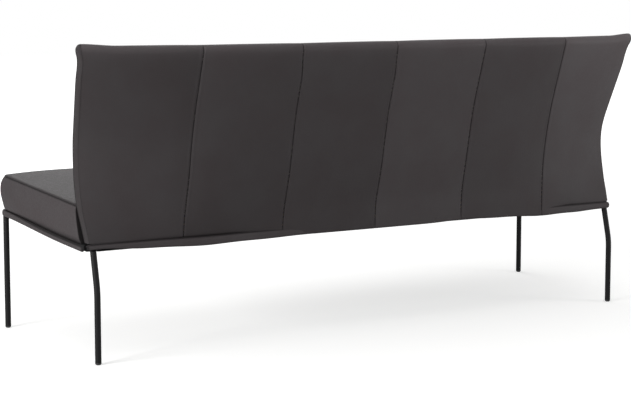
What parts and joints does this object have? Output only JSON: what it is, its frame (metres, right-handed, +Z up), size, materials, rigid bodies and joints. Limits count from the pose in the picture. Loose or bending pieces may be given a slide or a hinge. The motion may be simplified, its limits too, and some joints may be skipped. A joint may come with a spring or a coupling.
{
  "type": "dining sofa",
  "caption": "Long armless dining sofa: thin upholstered seat on slim tube legs, and a low leaning back whose ends curve forward as wings.",
  "frame": {"origin": "on the floor, under the middle of the sofa's whole outline", "axes": "+Z up, +Y towards the rear, where the back stands, +X along the length of the seat, to the right as seen from the front"},
  "size_m": [2, 0.7282, 0.89],
  "materials": {
    "leather": "smooth semi-aniline leather, dark warm grey, low sheen",
    "black_steel": "black powder coat, satin",
    "frame_steel": "black primer on welded steel",
    "screw_steel": "zinc plated",
    "beech": "planed beech, unfinished",
    "webbing": "woven elastic webbing",
    "felt": "pressed needle felt",
    "foam": "moulded polyurethane foam",
    "cover_cloth": "non-woven black dust cloth",
    "glide_plastic": "moulded polyethylene"
  },
  "bodies": {
    "root": {"back_belts": "webbing", "back_border_left": "leather", "back_border_right": "leather", "back_foam": "foam", "back_front_panel_1": "leather", "back_front_panel_2": "leather", "back_front_panel_3": "leather", "back_front_panel_4": "leather", "back_front_panel_5": "leather", "back_front_panel_6": "leather", "back_rear_panel_1": "leather", "back_rear_panel_2": "leather", "back_rear_panel_3": "leather", "back_rear_panel_4": "leather", "back_rear_panel_5": "leather", "back_rear_panel_6": "leather", "back_top_tube": "frame_steel", "back_upright_end_left": "frame_steel", "back_upright_end_right": "frame_steel", "back_upright_left": "frame_steel", "back_upright_middle": "frame_steel", "back_upright_right": "frame_steel", "back_wing_plate_left": "frame_steel", "back_wing_plate_right": "frame_steel", "band_front": "leather", "band_left": "leather", "band_rear": "leather", "band_right": "leather", "base_cross_rail_left": "frame_steel", "base_cross_rail_right": "frame_steel", "base_front_rail": "frame_steel", "base_left_rail": "frame_steel", "base_rear_rail": "frame_steel", "base_right_rail": "frame_steel", "corner_gussets": "frame_steel", "dust_cover": "cover_cloth", "foot_glide_front_left": "glide_plastic", "foot_glide_front_right": "glide_plastic", "foot_glide_rear_left": "glide_plastic", "foot_glide_rear_right": "glide_plastic", "frame_screws": "screw_steel", "leg_front_left": "black_steel", "leg_front_right": "black_steel", "leg_rear_left": "black_steel", "leg_rear_right": "black_steel", "seat_belts": "webbing", "seat_felt": "felt", "seat_foam": "foam", "seat_front": "leather", "seat_front_rail": "beech", "seat_left_rail": "beech", "seat_rear_rail": "beech", "seat_right_rail": "beech", "seat_side_left": "leather", "seat_side_right": "leather", "seat_top_left": "leather", "seat_top_middle": "leather", "seat_top_right": "leather"}
  },
  "joints": []
}
